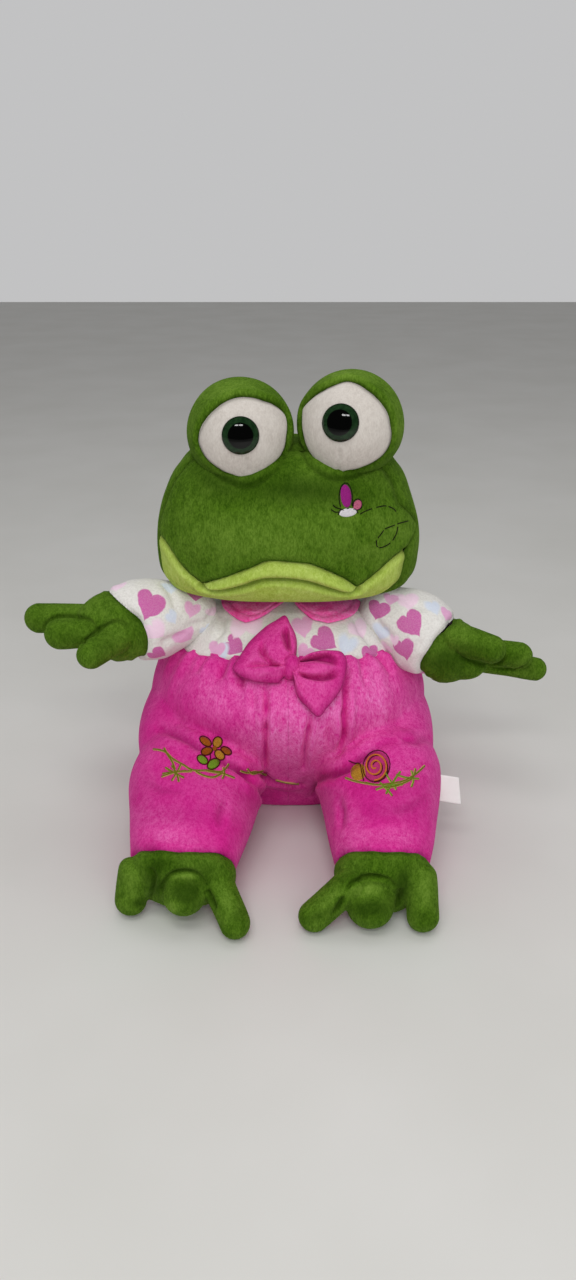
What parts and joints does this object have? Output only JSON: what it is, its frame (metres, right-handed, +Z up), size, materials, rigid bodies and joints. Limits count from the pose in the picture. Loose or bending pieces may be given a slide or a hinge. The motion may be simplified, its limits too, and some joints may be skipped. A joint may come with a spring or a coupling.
{
  "type": "plush frog",
  "caption": "Sitting plush frog with bulging eyes, heart-print fleece top, pink pile trousers, scalloped collar and bow; head, arms and legs flex at their seams",
  "frame": {"origin": "On the surface that the toy sits on, in the middle of its flat seat panel, under the neck.", "axes": "+X to the toy's own left, +Y to its back, so that it faces -Y, and +Z up."},
  "size_m": [0.3781, 0.2523, 0.339],
  "materials": {
    "green_pile": "matte",
    "light_green_pile": "matte",
    "pink_pile": "matte",
    "collar_pile": "matte",
    "bow_pile": "matte",
    "heart_fleece": "matte",
    "eye_white_pile": "matte",
    "eye_plastic": "gloss",
    "washer_plastic": "matte",
    "filling": "matte",
    "label_satin": "satin",
    "butterfly_thread": "satin",
    "flower_thread": "satin",
    "snail_thread": "satin"
  },
  "bodies": {
    "torso": {"torso_filling": "filling", "trousers_front": "pink_pile", "trousers_back": "pink_pile", "seat_panel": "pink_pile", "yoke_front": "heart_fleece", "yoke_back": "heart_fleece", "collar_left": "collar_pile", "collar_right": "collar_pile", "bow_knot": "bow_pile", "bow_wing_left": "bow_pile", "bow_wing_right": "bow_pile", "flower_embroidery": "flower_thread"},
    "neck": {"neck_filling": "filling"},
    "head": {"head_filling": "filling", "face_panel": "green_pile", "head_back_panel": "green_pile", "lip_panel": "light_green_pile", "chin_panel": "light_green_pile", "eye_hood_left": "green_pile", "eye_hood_right": "green_pile", "eye_white_left": "eye_white_pile", "eye_white_right": "eye_white_pile", "eye_filling_left": "filling", "eye_filling_right": "filling", "safety_eye_left": "eye_plastic", "safety_eye_right": "eye_plastic", "eye_washer_left": "washer_plastic", "eye_washer_right": "washer_plastic", "butterfly_embroidery": "butterfly_thread"},
    "arm_left": {"sleeve_left": "heart_fleece", "arm_filling_left": "filling", "hand_left": "green_pile"},
    "arm_right": {"sleeve_right": "heart_fleece", "arm_filling_right": "filling", "hand_right": "green_pile"},
    "leg_left": {"trouser_leg_left": "pink_pile", "leg_filling_left": "filling", "foot_left": "green_pile", "snail_embroidery": "snail_thread", "care_label": "label_satin"},
    "leg_right": {"trouser_leg_right": "pink_pile", "leg_filling_right": "filling", "foot_right": "green_pile"}
  },
  "joints": [
    {"name": "neck_turn", "type": "hinge", "parent": "torso", "child": "neck", "pos_m": [0, -0.015, 0.1745], "axis": [0, 0, 1], "range_deg": [-40, 40]},
    {"name": "head_nod", "type": "hinge", "parent": "neck", "child": "head", "pos_m": [0, -0.015, 0.1745], "axis": [1, 0, 0], "range_deg": [-12, 7]},
    {"name": "shoulder_left", "type": "hinge", "parent": "torso", "child": "arm_left", "pos_m": [0.072, -0.03, 0.1635], "axis": [0, -1, 0], "range_deg": [-12, 20]},
    {"name": "shoulder_right", "type": "hinge", "parent": "torso", "child": "arm_right", "pos_m": [-0.072, -0.03, 0.1635], "axis": [0, 1, 0], "range_deg": [-20, 6]},
    {"name": "hip_left", "type": "hinge", "parent": "torso", "child": "leg_left", "pos_m": [0.067, -0.085, 0.0485], "axis": [1, 0, 0], "range_deg": [-4, 60]},
    {"name": "hip_right", "type": "hinge", "parent": "torso", "child": "leg_right", "pos_m": [-0.067, -0.085, 0.0485], "axis": [1, 0, 0], "range_deg": [-4, 60]}
  ]
}
